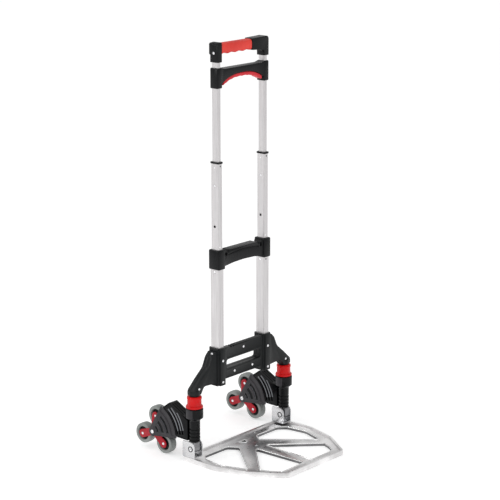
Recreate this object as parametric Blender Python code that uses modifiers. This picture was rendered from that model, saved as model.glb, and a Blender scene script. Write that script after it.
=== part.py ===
"""Folding hand truck with three-wheeled stair climbers, modelled at real size.

X runs from the truck's left to its right, the toe plate points to -Y and +Z is up. The origin lies on
the ground, on the middle plane, under the two upright columns that the wheel brackets turn on.
"""

import math

import bmesh
import bpy
from mathutils import Matrix, Vector

# Gaps
TOUCH = 0.0003  # between pieces that touch
RUN = 0.0004  # between pieces that turn or slide on each other
CLEAR = 0.0012  # between moving pieces that pass each other

# Frame tubes, three stages that slide in each other
TUBE_SPACING = 0.182
TUBE_WALL = 0.0012
OUTER_TUBE = (0.020, 0.030)
MIDDLE_TUBE = (0.016, 0.026)
UPPER_TUBE = (0.012, 0.021)
TUBE_CORNER = 0.003
OUTER_TUBE_LENGTH = 0.361
MIDDLE_TUBE_SHOWN = 0.228
UPPER_TUBE_SHOWN = 0.190
TUBE_OVERLAP = 0.080
BUTTON_DIAMETER = 0.0066
OUTER_BUTTON_DROP = 0.056
MIDDLE_BUTTON_DROP = 0.058
STOP_HOLE_DROP = 0.166

# Lower frame
FRAME_BOTTOM = 0.192
FRAME_WALL = 0.0035
CHANNEL_WIDTH = 0.032
CHANNEL_DEPTH = 0.040
CHANNEL_HEIGHT = 0.102
PANEL_DEPTH = 0.026
PANEL_FOOT = 0.013
PANEL_HEIGHT = 0.0865
REAR_PANEL_STEP = 0.010
SLOT_WIDTH = 0.138
SLOT_HEIGHT = 0.0255
LOWER_BAR_HEIGHT = 0.0263
ARM_DEPTH = 0.024
BOSS_DIAMETER = 0.029

# Columns and what sits on them, from the bottom up
COLUMN_SPACING = 0.364
COLUMN_DIAMETER = 0.020
PIVOT_HEIGHT = 0.038
PIVOT_DIAMETER = 0.008
FOOT_SIZE = (0.021, 0.024)
FOOT_SIDE_GAP = 0.006
FOOT_RISE = 0.0183
SLEEVE_GAP = 0.0025
SLEEVE_DIAMETER = 0.030
SLEEVE_LENGTH = 0.0585
BARREL_DIAMETER = 0.047
BARREL_LENGTH = 0.032
COLLAR_DIAMETER = 0.038
COLLAR_LENGTH = 0.0315
COLUMN_GRIP = 0.013

# Toe plate and its ears
PLATE_WIDTH = 0.404
PLATE_DEPTH = 0.293
PLATE_REAR = 0.027
PLATE_WEB = 0.008
PLATE_RIM = 0.013
SIDE_BAR = 0.026
FRONT_BAR = 0.029
LIP_WIDTH = 0.007
REAR_BAR = 0.032
SPOKE_WIDTH = 0.0275
FRONT_SPOKE = 0.029
HUB_OFFSET = 0.079
NECK_HOLE = (0.030, 0.020)
EAR_WALL = 0.003
EAR_FRONT = 0.0135
EAR_REAR = 0.0285
EAR_RISE = 0.019
EAR_CORNERS = (0.0125, 0.004)

# Wheel sets
HUB_HEIGHT = 0.056
HUB_REACH = 0.137
STAR_RADIUS = 0.0445
WHEEL_DIAMETER = 0.055
WHEEL_WIDTH = 0.022
TYRE_BORE = 0.037
CORE_WIDTH = 0.011
SPIDER_PLATE = 0.0025
FORK_PLATE = 0.0035
FORK_RADIUS = 0.085
FORK_FROM, FORK_TO = 0, 68
FORK_BOSS = 0.026
AXLE_DIAMETER = 0.008
AXLE_CAP = 0.0085
STAR_ANGLES = {-1: 81, 1: 84}

# Crossbar, carry bar and top handle
CROSSBAR_HEIGHT = 0.053
COLLAR_WALL = 0.0032
CROSSBAR_DEPTH = 0.026
CARRY_HEIGHT = 0.053
CARRY_DEPTH = 0.026
CARRY_MIDDLE = 0.0195
CARRY_STEP = 0.004
CARRY_INSERT = 0.010
HANDLE_GAP = 0.014
CAP_HEIGHT = 0.051
CAP_WALL = 0.0025
CAP_SHOULDER = {-1: 0.0, 1: 0.048}
CAP_BULGE = 0.006
GRIP_HEIGHT = 0.029
GRIP_DEPTH = 0.025
GRIP_WAVE = 0.0014
GRIP_STEPS = 24
CORE_DIAMETER = 0.014

ROUND_STEPS = 24

# Heights worked out from the sizes above
outer_bottom = FRAME_BOTTOM + FRAME_WALL + TOUCH
outer_top = outer_bottom + OUTER_TUBE_LENGTH
crossbar_top = outer_top + TOUCH + COLLAR_WALL
middle_top = crossbar_top + MIDDLE_TUBE_SHOWN
ring_height = 0.0045
ring_top = middle_top + TOUCH + ring_height
carry_bottom = ring_top + UPPER_TUBE_SHOWN
carry_top = carry_bottom + CARRY_HEIGHT
cap_bottom = carry_top + HANDLE_GAP
cap_top = cap_bottom + CAP_HEIGHT
foot_top = PIVOT_HEIGHT + FOOT_RISE
sleeve_bottom = foot_top + SLEEVE_GAP
barrel_bottom = sleeve_bottom + SLEEVE_LENGTH
barrel_top = barrel_bottom + BARREL_LENGTH
collar_bottom = barrel_top + CLEAR
collar_top = collar_bottom + COLLAR_LENGTH
boss_bottom = collar_top + TOUCH
column_top = boss_bottom + COLUMN_GRIP
tube_x = TUBE_SPACING / 2
column_x = COLUMN_SPACING / 2
plate_front = PLATE_REAR - PLATE_DEPTH
ear_base_bottom = PLATE_RIM + TOUCH
ear_inside = FOOT_SIZE[0] + FOOT_SIDE_GAP + TOUCH
ear_width = ear_inside + 2 * EAR_WALL
spider_inside = WHEEL_WIDTH / 2 + RUN
spider_outside = spider_inside + SPIDER_PLATE
fork_inside = spider_outside + RUN
fork_outside = fork_inside + FORK_PLATE
grip_middle = cap_top - 0.003 - GRIP_HEIGHT / 2

FINISHES = {
    "satin_aluminium": ((0.66, 0.66, 0.66), 0.38, 1.0),
    "polished_aluminium": ((0.78, 0.78, 0.80), 0.22, 1.0),
    "steel": ((0.62, 0.62, 0.64), 0.25, 1.0),
    "black_plastic": ((0.018, 0.019, 0.021), 0.42, 0.0),
    "red_plastic": ((0.62, 0.012, 0.018), 0.35, 0.0),
    "red_grip": ((0.60, 0.05, 0.04), 0.55, 0.0),
    "grey_tyre": ((0.23, 0.24, 0.24), 0.7, 0.0),
}


def clear_scene():
    for obj in list(bpy.data.objects):
        bpy.data.objects.remove(obj)


def make_collection(name):
    collection = bpy.data.collections.new(name)
    bpy.context.scene.collection.children.link(collection)
    return collection


def make_material(name):
    colour, roughness, metallic = FINISHES[name]
    material = bpy.data.materials.new(name)
    material.use_nodes = True
    shader = material.node_tree.nodes["Principled BSDF"]
    shader.inputs["Base Color"].default_value = (*colour, 1.0)
    shader.inputs["Roughness"].default_value = roughness
    shader.inputs["Metallic"].default_value = metallic
    return material


clear_scene()
truck = make_collection("hand_truck")
tools = make_collection("cutters")
materials = {name: make_material(name) for name in FINISHES}


def place_object(name, mesh, finish):
    """Link a mesh as a part in its finish, or as a hidden helper when the finish is None."""
    obj = bpy.data.objects.new(name, mesh)
    if finish is None:
        tools.objects.link(obj)
        obj.hide_render = True
        obj.display_type = "WIRE"
    else:
        truck.objects.link(obj)
        mesh.materials.clear()
        mesh.materials.append(materials[finish])
        mesh.shade_smooth()
        mesh.set_sharp_from_angle(angle=math.radians(35))
    return obj


def baked_mesh(obj, matrix):
    """The object's evaluated mesh, closed and facing out, moved by the matrix; the object is removed."""
    graph = bpy.context.evaluated_depsgraph_get()
    mesh = bpy.data.meshes.new_from_object(obj.evaluated_get(graph))
    bpy.data.objects.remove(obj)
    shape = bmesh.new()
    shape.from_mesh(mesh)
    bmesh.ops.remove_doubles(shape, verts=shape.verts, dist=0.00001)
    shape.transform(matrix)
    bmesh.ops.recalc_face_normals(shape, faces=shape.faces)
    if shape.calc_volume(signed=True) < 0:
        bmesh.ops.reverse_faces(shape, faces=shape.faces)
    shape.to_mesh(mesh)
    shape.free()
    return mesh


def axis_matrix(axis):
    """Turns a shape drawn in the XY plane, thick along Z, so that its thickness lies along an axis."""
    columns = {
        "X": ((0, 1, 0), (0, 0, 1), (1, 0, 0)),
        "Y": ((1, 0, 0), (0, 0, 1), (0, -1, 0)),
        "Z": ((1, 0, 0), (0, 1, 0), (0, 0, 1)),
    }[axis]
    return Matrix(columns).transposed().to_4x4()


def prism(name, loops, axis, low, high, finish=None):
    """A flat outline, given as loops of points, extruded from low to high along an axis."""
    curve = bpy.data.curves.new(name, "CURVE")
    curve.dimensions = "2D"
    curve.fill_mode = "BOTH"
    curve.extrude = (high - low) / 2
    for loop in loops:
        spline = curve.splines.new("POLY")
        spline.points.add(len(loop) - 1)
        for point, (u, v) in zip(spline.points, loop):
            point.co = (u, v, 0, 1)
        spline.use_cyclic_u = True
    drawn = bpy.data.objects.new(name, curve)
    bpy.context.scene.collection.objects.link(drawn)
    middle = {"X": 0, "Y": 1, "Z": 2}[axis]
    shift = Vector((0, 0, 0))
    shift[middle] = (low + high) / 2
    mesh = baked_mesh(drawn, Matrix.Translation(shift) @ axis_matrix(axis))
    return place_object(name, mesh, finish)


def turned(name, profile, axis, centre, finish=None, steps=ROUND_STEPS):
    """A closed (radius, height) profile turned about an axis through a centre."""
    mesh = bpy.data.meshes.new(name)
    points = [(radius, 0, height) for radius, height in profile]
    edges = [(i, (i + 1) % len(points)) for i in range(len(points))]
    mesh.from_pydata(points, edges, [])
    drawn = bpy.data.objects.new(name, mesh)
    bpy.context.scene.collection.objects.link(drawn)
    screw = drawn.modifiers.new("turn", "SCREW")
    screw.steps = steps
    screw.render_steps = steps
    screw.use_merge_vertices = True
    screw.merge_threshold = 0.00001
    screw.use_smooth_shade = False
    baked = baked_mesh(drawn, Matrix.Translation(centre) @ axis_matrix(axis))
    return place_object(name, baked, finish)


def lofted(name, sections, finish=None):
    """A solid through sections (place along X, outline in the YZ plane) of equal point counts."""
    shape = bmesh.new()
    rings = [[shape.verts.new((u, *point)) for point in outline] for u, outline in sections]
    for ring, following in zip(rings, rings[1:]):
        for i, vert in enumerate(ring):
            shape.faces.new((ring[i - 1], vert, following[i], following[i - 1]))
    shape.faces.new(rings[0])
    shape.faces.new(rings[-1])
    bmesh.ops.recalc_face_normals(shape, faces=shape.faces)
    mesh = bpy.data.meshes.new(name)
    shape.to_mesh(mesh)
    shape.free()
    return place_object(name, mesh, finish)


def rod(name, radius, low, high, axis, centre, finish=None, chamfer=0.0, steps=ROUND_STEPS):
    """A solid cylinder between two heights along its axis, with chamfered rims."""
    shape = bmesh.new()
    bmesh.ops.create_cone(
        shape,
        cap_ends=True,
        segments=steps,
        radius1=radius,
        radius2=radius,
        depth=high - low,
    )
    if chamfer:
        rims = [edge for edge in shape.edges if abs(edge.verts[0].co.z - edge.verts[1].co.z) < 1e-6]
        bmesh.ops.bevel(shape, geom=rims, offset=chamfer, segments=1, affect="EDGES")
    shape.transform(Matrix.Translation((0, 0, (low + high) / 2)))
    shape.transform(Matrix.Translation(centre) @ axis_matrix(axis))
    mesh = bpy.data.meshes.new(name)
    shape.to_mesh(mesh)
    shape.free()
    return place_object(name, mesh, finish)


def block(name, low, high, finish=None, bevel=0.0, segments=2):
    """A box between two corners, with rounded edges."""
    shape = bmesh.new()
    bmesh.ops.create_cube(shape, size=1.0)
    size = [b - a for a, b in zip(low, high)]
    middle = [(a + b) / 2 for a, b in zip(low, high)]
    shape.transform(Matrix.Translation(middle) @ Matrix.Diagonal((*size, 1)))
    mesh = bpy.data.meshes.new(name)
    shape.to_mesh(mesh)
    shape.free()
    obj = place_object(name, mesh, finish)
    if bevel:
        round_edges(obj, bevel, segments)
    return obj


def round_edges(obj, width, segments=2, angle=50):
    bevel = obj.modifiers.new("round", "BEVEL")
    bevel.width = width
    bevel.segments = segments
    bevel.limit_method = "ANGLE"
    bevel.angle_limit = math.radians(angle)


def combine(target, operation, others, solver):
    for other in others:
        boolean = target.modifiers.new(operation.lower(), "BOOLEAN")
        boolean.operation = operation
        boolean.solver = solver
        boolean.object = other


def join(target, *others, solver="EXACT"):
    combine(target, "UNION", others, solver)


def cut(target, *others, solver="EXACT"):
    combine(target, "DIFFERENCE", others, solver)


def rounded(corners, segments=3):
    """Points of an outline from corners (u, v, radius), each corner replaced by an arc."""
    points = []
    count = len(corners)
    for i, (u, v, radius) in enumerate(corners):
        corner = Vector((u, v))
        before = Vector(corners[i - 1][:2]) - corner
        after = Vector(corners[(i + 1) % count][:2]) - corner
        if not radius:
            points.append((u, v))
            continue
        half = before.angle(after) / 2
        back = min(radius / math.tan(half), before.length * 0.48, after.length * 0.48)
        centre = corner + (before.normalized() + after.normalized()).normalized() * back / math.cos(half)
        start = corner + before.normalized() * back - centre
        turn = start.angle_signed(corner + after.normalized() * back - centre)
        for step in range(segments + 1):
            swing = Matrix.Rotation(-turn * step / segments, 2) @ start
            points.append(tuple(centre + swing))
    return points


def rectangle(width, height, radius=0.0, centre=(0.0, 0.0), segments=2):
    u, v = centre
    corners = [(-1, -1), (1, -1), (1, 1), (-1, 1)]
    return rounded([(u + a * width / 2, v + b * height / 2, radius) for a, b in corners], segments)


def arc(centre, radius, start, end, steps):
    """Points on an arc of the YZ plane, angles in degrees from straight ahead (-Y) up to +Z."""
    points = []
    for step in range(steps + 1):
        angle = math.radians(start + (end - start) * step / steps)
        points.append((centre[0] - radius * math.cos(angle), centre[1] + radius * math.sin(angle)))
    return points


def inset(points, distance):
    """The outline moved inwards by a distance; points run anticlockwise."""
    moved = []
    count = len(points)
    for i, point in enumerate(points):
        here = Vector(point)
        back = (here - Vector(points[i - 1])).normalized()
        ahead = (Vector(points[(i + 1) % count]) - here).normalized()
        normal = Vector((-back.y - ahead.y, back.x + ahead.x)).normalized()
        reach = distance / max(normal.dot(Vector((-back.y, back.x))), 0.3)
        moved.append(tuple(here + normal * reach))
    return moved


def side_name(base, side):
    return f"{base}_{'l' if side < 0 else 'r'}"


def tube(name, size, x, bottom, top):
    """A drawn aluminium tube of rounded rectangular section, open at both ends."""
    width, depth = size
    outside = rectangle(width, depth, TUBE_CORNER, (x, 0))
    wall = TUBE_WALL
    inside = rectangle(width - 2 * wall, depth - 2 * wall, TUBE_CORNER - wall, (x, 0))
    return prism(name, [outside, inside], "Z", bottom, top, "satin_aluminium")


def tube_hole(name, size, x, bottom, top):
    """A cutter for a hole that a tube stands in."""
    width, depth = size
    outline = rectangle(width + 2 * TOUCH, depth + 2 * TOUCH, TUBE_CORNER + TOUCH, (x, 0))
    return prism(name, [outline], "Z", bottom, top)


def wall_hole(name, x, height):
    """A round cutter through a tube's left wall."""
    radius = BUTTON_DIAMETER / 2 + TOUCH
    return rod(name, radius, -0.004, 0.004, "X", (x, 0, height), steps=12)


def frame_tubes(side):
    """One side's three tubes, with the guide ring and the lock buttons in their left walls."""
    x = side * tube_x
    outer = tube(side_name("outer_tube", side), OUTER_TUBE, x, outer_bottom, outer_top)
    middle_bottom = outer_top - TUBE_OVERLAP
    middle = tube(side_name("middle_tube", side), MIDDLE_TUBE, x, middle_bottom, middle_top)
    upper_bottom = middle_top - TUBE_OVERLAP
    upper_top = cap_top - CAP_WALL - TOUCH
    upper = tube(side_name("upper_tube", side), UPPER_TUBE, x, upper_bottom, upper_top)

    width, depth = MIDDLE_TUBE
    outside = rectangle(width + 0.003, depth + 0.003, TUBE_CORNER, (x, 0))
    clear = 2 * RUN
    inside = rectangle(UPPER_TUBE[0] + clear, UPPER_TUBE[1] + clear, TUBE_CORNER, (x, 0))
    name = side_name("guide_ring", side)
    prism(name, [outside, inside], "Z", middle_top + TOUCH, ring_top, "black_plastic")

    stages = (
        ("outer_button", OUTER_TUBE, MIDDLE_TUBE, outer_top - OUTER_BUTTON_DROP, (outer, middle)),
        ("middle_button", MIDDLE_TUBE, UPPER_TUBE, middle_top - MIDDLE_BUTTON_DROP, (middle, upper)),
    )
    for base, size, within, height, walls in stages:
        tag = side_name(base, side)
        face = x - size[0] / 2
        rod(tag, BUTTON_DIAMETER / 2, 0, TUBE_WALL, "X", (face, 0, height), "steel", 0.0003, 12)
        for wall, wall_face in zip(walls, (face, x - within[0] / 2)):
            cut(wall, wall_hole(f"{tag}_hole_{wall.name}", wall_face, height))
    stop_face = x - MIDDLE_TUBE[0] / 2
    cut(middle, wall_hole(side_name("stop_hole", side), stop_face, middle_top - STOP_HOLE_DROP))


def arm_outline(side):
    """The sloping arm from the tube channel to the boss over the column, seen from the front."""
    root = tube_x + CHANNEL_WIDTH / 2 - 0.004
    tip = column_x + BOSS_DIAMETER / 2 - 0.001
    inner = column_x - BOSS_DIAMETER / 2 + 0.001
    shoulder = FRAME_BOTTOM + CHANNEL_HEIGHT
    corners = [
        (root, FRAME_BOTTOM + 0.008, 0),
        (root + 0.022, FRAME_BOTTOM + 0.010, 0.010),
        (inner - 0.012, FRAME_BOTTOM + 0.012, 0.010),
        (inner, boss_bottom + 0.003, 0),
        (tip, boss_bottom + 0.003, 0),
        (tip, boss_bottom + 0.017, 0.012),
        (column_x - 0.015, boss_bottom + 0.043, 0.030),
        (root + 0.036, shoulder - 0.046, 0.030),
        (root + 0.024, shoulder - 0.019, 0.010),
        (root + 0.012, shoulder - 0.007, 0.006),
        (root, shoulder - 0.006, 0),
    ]
    return rounded([(side * u, v, radius) for u, v, radius in corners])


def panel_loops(height):
    """The panel between the channels, with its hand slot."""
    width = TUBE_SPACING - CHANNEL_WIDTH + 0.004
    bottom = FRAME_BOTTOM + PANEL_FOOT
    middle = bottom + height / 2
    slot_middle = bottom + LOWER_BAR_HEIGHT + SLOT_HEIGHT / 2
    outside = rectangle(width, height, 0.0, (0, middle))
    slot = rectangle(SLOT_WIDTH, SLOT_HEIGHT, 0.007, (0, slot_middle), 3)
    return [outside, slot]


def shell_half(name, facing):
    """The front (-1) or rear (+1) half shell of the lower frame."""
    face = facing * TOUCH / 2

    def span(depth):
        return sorted((face, facing * depth / 2))

    height = PANEL_HEIGHT - (REAR_PANEL_STEP if facing > 0 else 0)
    shell = prism(name, panel_loops(height), "Y", *span(PANEL_DEPTH), "black_plastic")
    for side in (-1, 1):
        tag = f"{name}_{'l' if side < 0 else 'r'}"
        x = side * tube_x
        low, high = span(CHANNEL_DEPTH)
        half = CHANNEL_WIDTH / 2
        channel = block(
            tag + "_channel",
            (x - half, low, FRAME_BOTTOM),
            (x + half, high, FRAME_BOTTOM + CHANNEL_HEIGHT),
        )
        upright = [e.index for e in channel.data.edges if vertical_outer(channel.data, e, facing)]
        bevel_edges(channel.data, upright, 0.006)
        arm = prism(tag + "_arm", [arm_outline(side)], "Y", *span(ARM_DEPTH))
        boss = half_disc(tag + "_boss", side * column_x, facing)
        join(shell, channel, arm, boss)
    for side in (-1, 1):
        tag = f"{name}_{'l' if side < 0 else 'r'}"
        hole = tube_hole(tag + "_tube_hole", OUTER_TUBE, side * tube_x, outer_bottom - TOUCH, 0.5)
        bore = rod(
            tag + "_bore",
            COLUMN_DIAMETER / 2 + TOUCH,
            boss_bottom - 0.01,
            column_top + TOUCH,
            "Z",
            (side * column_x, 0, 0),
        )
        cut(shell, hole, bore)
    return shell


def vertical_outer(mesh, edge, facing):
    """Whether an edge of a channel block is an upright one on its outer face."""
    a, b = (mesh.vertices[index].co for index in edge.vertices)
    return abs(a.z - b.z) > 0.01 and a.y * facing > 0.01


def bevel_edges(mesh, indices, width):
    shape = bmesh.new()
    shape.from_mesh(mesh)
    shape.edges.ensure_lookup_table()
    edges = [shape.edges[index] for index in indices]
    bmesh.ops.bevel(shape, geom=edges, offset=width, segments=3, affect="EDGES")
    shape.to_mesh(mesh)
    shape.free()


def half_disc(name, x, facing):
    """Half of the round boss that holds the column's top."""
    radius = BOSS_DIAMETER / 2
    points = []
    for step in range(ROUND_STEPS // 2 + 1):
        angle = math.pi * step / (ROUND_STEPS // 2)
        points.append((x + radius * math.cos(angle), facing * (TOUCH / 2 + radius * math.sin(angle))))
    return prism(name, [points], "Z", boss_bottom, column_top + 0.002)


def column(side):
    centre = (side * column_x, 0, 0)
    radius = COLUMN_DIAMETER / 2
    rod(side_name("column", side), radius, foot_top + TOUCH, column_top, "Z", centre, "steel")

    bore = radius + TOUCH
    outer = COLLAR_DIAMETER / 2
    lip = 0.002
    profile = [
        (outer - lip, collar_top),
        (outer, collar_top - lip),
        (outer, collar_bottom + 0.008),
        (outer - 0.001, collar_bottom + 0.007),
        (outer - 0.001, collar_bottom + lip),
        (outer - 0.001 - lip, collar_bottom),
        (bore, collar_bottom),
        (bore, collar_top),
    ]
    turned(side_name("red_collar", side), profile, "Z", centre, "red_plastic")

    width, depth = FOOT_SIZE
    x = side * column_x
    foot_x = side * (column_x + ear_inside / 2 - TOUCH - width / 2)
    foot = block(
        side_name("column_foot", side),
        (foot_x - width / 2, -depth / 2, PIVOT_HEIGHT),
        (foot_x + width / 2, depth / 2, foot_top),
        "polished_aluminium",
    )
    tag = side_name("foot", side)
    eye = rod(tag + "_eye", depth / 2, -width / 2, width / 2, "X", (foot_x, 0, PIVOT_HEIGHT))
    hole_radius = PIVOT_DIAMETER / 2 + TOUCH
    hole = rod(tag + "_hole", hole_radius, -width, width, "X", (foot_x, 0, PIVOT_HEIGHT), steps=16)
    join(foot, eye)
    cut(foot, hole)

    reach = ear_width / 2
    head = 0.0065
    pin = [
        (0, reach + 0.0018),
        (head - 0.0015, reach + 0.0018),
        (head, reach + 0.0008),
        (head, reach + TOUCH),
        (PIVOT_DIAMETER / 2, reach + TOUCH),
        (PIVOT_DIAMETER / 2, -reach),
        (0, -reach),
    ]
    profile = [(r, h * side) for r, h in pin]
    turned(side_name("pivot_pin", side), profile, "X", (x, 0, PIVOT_HEIGHT), "steel", 16)


def plate_outline(distance=0.0):
    """The toe plate's edge from above, anticlockwise, moved inwards by a distance."""
    half = PLATE_WIDTH / 2
    side = [
        (half - 0.003, PLATE_REAR, 0.006),
        (half, plate_front + 0.180, 0.050),
        (half - 0.026, plate_front + 0.090, 0.050),
        (half - 0.087, plate_front, 0.016),
    ]
    corners = list(reversed(side)) + [(-u, v, r) for u, v, r in side]
    moved = inset([corner[:2] for corner in corners], distance)
    radii = [max(corner[2] - distance, 0.005) for corner in corners]
    return rounded([(*point, radius) for point, radius in zip(moved, radii)], 4)


def side_window(side):
    """The toe plate's opening between the rear bar, the side bar and a spoke."""
    rear = PLATE_REAR - REAR_BAR
    outer = PLATE_WIDTH / 2 - SIDE_BAR
    hub = PLATE_REAR - HUB_OFFSET
    corners = [
        (SPOKE_WIDTH * 1.5, hub + 0.0185, 0.010),
        (outer - 0.027, plate_front + 0.106, 0.008),
        (outer - 0.001, plate_front + 0.178, 0.060),
        (outer - 0.008, rear - 0.020, 0.014),
        (outer - 0.028, rear, 0.016),
        (SPOKE_WIDTH * 1.5 + 0.018, rear, 0.016),
    ]
    return rounded([(side * u, v, radius) for u, v, radius in corners])


def front_window(side):
    """The toe plate's opening between its two spokes and the front bar."""
    front = plate_front + FRONT_BAR
    half = FRONT_SPOKE / 2
    hub = PLATE_REAR - HUB_OFFSET
    corners = [
        (half + 0.004, hub - 0.018, 0.005),
        (half, front, 0.004),
        (half + 0.090, front, 0.014),
        (half + 0.108, front + 0.026, 0.008),
        (half + 0.119, front + 0.052, 0.004),
    ]
    return rounded([(side * u, v, radius) for u, v, radius in corners])


def neck_window():
    """The small opening between the two necks that join the rear bar and the hub."""
    width, depth = NECK_HOLE
    rear = PLATE_REAR - REAR_BAR
    return rounded([(-width / 2, rear, 0.002), (0, rear - depth, 0.004), (width / 2, rear, 0.002)], 2)


def toe_plate():
    loops = [plate_outline(), neck_window()]
    for side in (-1, 1):
        loops += [side_window(side), front_window(side)]
    plate = prism("toe_plate", loops, "Z", 0, PLATE_WEB, "polished_aluminium")
    skin = 0.0004
    lip_loops = [plate_outline(skin), plate_outline(LIP_WIDTH)]
    join(plate, prism("plate_lip", lip_loops, "Z", 2 * skin, PLATE_RIM))


def ear(side):
    """The U-shaped bracket on the toe plate that turns on the column's foot."""
    x = side * column_x
    top = PIVOT_HEIGHT + EAR_RISE
    front_corner, rear_corner = EAR_CORNERS
    wall_outline = rounded(
        [
            (-EAR_FRONT, ear_base_bottom, 0),
            (EAR_REAR, ear_base_bottom, 0),
            (EAR_REAR, top, rear_corner),
            (-EAR_FRONT, top, front_corner),
        ],
        4,
    )
    low = x - ear_width / 2
    high = x + ear_width / 2
    name = side_name("plate_ear", side)
    piece = prism(name, [wall_outline], "X", low, high, "polished_aluminium")
    base_top = ear_base_bottom + EAR_WALL
    gap = block(
        name + "_gap",
        (low + EAR_WALL, -EAR_FRONT - 0.01, base_top),
        (high - EAR_WALL, EAR_REAR + 0.01, top + 0.01),
    )
    hole_radius = PIVOT_DIAMETER / 2 + TOUCH
    hole = rod(name + "_hole", hole_radius, -0.03, 0.03, "X", (x, 0, PIVOT_HEIGHT), steps=16)
    cut(piece, gap, hole)


def wheel_bracket(side):
    """Sleeve on the column with a fork whose two fan-shaped plates hold the star's axle."""
    x = side * column_x
    name = side_name("wheel_bracket", side)
    hub = (HUB_REACH, HUB_HEIGHT)
    bore = COLUMN_DIAMETER / 2 + RUN
    sleeve = SLEEVE_DIAMETER / 2
    barrel = BARREL_DIAMETER / 2
    core = bore - 0.002
    profile = [
        (core, barrel_top),
        (barrel - 0.002, barrel_top),
        (barrel, barrel_top - 0.002),
        (barrel, barrel_bottom + 0.006),
        (sleeve + 0.001, barrel_bottom),
        (sleeve, barrel_bottom - 0.004),
        (sleeve, sleeve_bottom),
        (core, sleeve_bottom),
    ]
    piece = turned(name, profile, "Z", (x, 0, 0), "black_plastic")

    fan = arc(hub, FORK_RADIUS, FORK_FROM, FORK_TO, 10)
    boss = arc(hub, FORK_BOSS / 2, FORK_TO + 70, 360 + FORK_FROM - 50, 10)
    horn_y = HUB_REACH - FORK_RADIUS * 0.70
    horn_z = HUB_HEIGHT + FORK_RADIUS * 1.10
    plate = [*fan, *boss]
    plates = []
    for label, offset in (("outer", -1), ("inner", 1)):
        near = x + offset * fork_inside
        far = x + offset * fork_outside
        plates.append(prism(f"{name}_{label}_plate", [plate], "X", min(near, far), max(near, far)))
    inner_radius = STAR_RADIUS + WHEEL_DIAMETER / 2 + 0.0035
    root_y = sleeve - 0.004
    web = [
        *arc(hub, inner_radius, FORK_TO, FORK_FROM, 10),
        (HUB_REACH - FORK_RADIUS + 0.0004, sleeve_bottom + 0.002),
        (root_y, sleeve_bottom + 0.001),
        (root_y, barrel_bottom - 0.003),
        (horn_y, horn_z),
    ]
    block_half = fork_inside + 0.0015
    fender = prism(f"{name}_fender", [web], "X", x - block_half, x + block_half)
    join(piece, fender, *plates, solver="MANIFOLD")

    bore_tool = rod(f"{name}_bore", bore, 0, barrel_top + 0.02, "Z", (x, 0, 0))
    axle_hole = rod(
        f"{name}_axle_hole",
        AXLE_DIAMETER / 2 + TOUCH,
        -0.05,
        0.05,
        "X",
        (x, *hub),
        steps=16,
    )
    cut(piece, bore_tool, axle_hole, solver="MANIFOLD")


def star_arm_outline(hub, angle):
    """One arm of the spider: wide round end over the wheel, running into the middle."""
    direction = Vector((-math.cos(math.radians(angle)), math.sin(math.radians(angle))))
    across = Vector((-direction.y, direction.x))
    middle = Vector(hub)
    tip = middle + direction * STAR_RADIUS
    root = middle - direction * 0.0065
    points = [root - across * 0.009, root + across * 0.009]
    for step in range(9):
        swing = math.radians(90 - 180 * step / 8)
        points.append(tip + direction * 0.0115 * math.cos(swing) + across * 0.0115 * math.sin(swing))
    return [tuple(point) for point in points]


def wheel_centre(side, arm):
    angle = math.radians(STAR_ANGLES[side] + 120 * arm)
    y = HUB_REACH - STAR_RADIUS * math.cos(angle)
    z = HUB_HEIGHT + STAR_RADIUS * math.sin(angle)
    return (side * column_x, y, z)


def star(side):
    """The three-armed spider with its axle, three wheels and their rivets."""
    x = side * column_x
    hub = (HUB_REACH, HUB_HEIGHT)
    name = side_name("spider", side)
    centre = (x, *hub)
    bore = AXLE_DIAMETER / 2 + TOUCH
    tube_radius = 0.011
    tube_half = spider_outside - TOUCH
    profile = [
        (tube_radius, tube_half),
        (tube_radius, -tube_half),
        (bore - 0.001, -tube_half),
        (bore - 0.001, tube_half),
    ]
    spider = turned(name, profile, "X", centre, "red_plastic", 16)
    angles = [STAR_ANGLES[side] + 120 * arm for arm in range(3)]
    for arm, angle in enumerate(angles):
        outline = star_arm_outline(hub, angle)
        for face, offset in (("out", -1), ("in", 1)):
            skin = 0.0002 * arm
            near = x + offset * (spider_inside + skin)
            far = x + offset * (spider_outside - skin)
            tag = f"{name}_arm_{arm}_{face}"
            join(spider, prism(tag, [outline], "X", min(near, far), max(near, far)))
    cut(spider, rod(f"{name}_bore", bore, -0.03, 0.03, "X", centre, steps=16))
    for arm in range(3):
        hole_tag = f"{name}_rivet_hole_{arm}"
        wheel = wheel_centre(side, arm)
        cut(spider, rod(hole_tag, 0.0043, -0.03, 0.03, "X", wheel, steps=12))
        small_wheel(side, arm, wheel)
    reach = fork_outside + 0.0008
    head = AXLE_CAP / 2 + 0.0012
    axle = AXLE_DIAMETER / 2
    profile = [
        (0, reach + 0.002),
        (head - 0.001, reach + 0.002),
        (head, reach + 0.0012),
        (head, reach - 0.0005),
        (axle, reach - 0.0005),
        (axle, -reach + 0.0005),
        (head, -reach + 0.0005),
        (head, -reach - 0.0012),
        (head - 0.001, -reach - 0.002),
        (0, -reach - 0.002),
    ]
    turned(side_name("star_axle", side), profile, "X", centre, "steel", 16)


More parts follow.
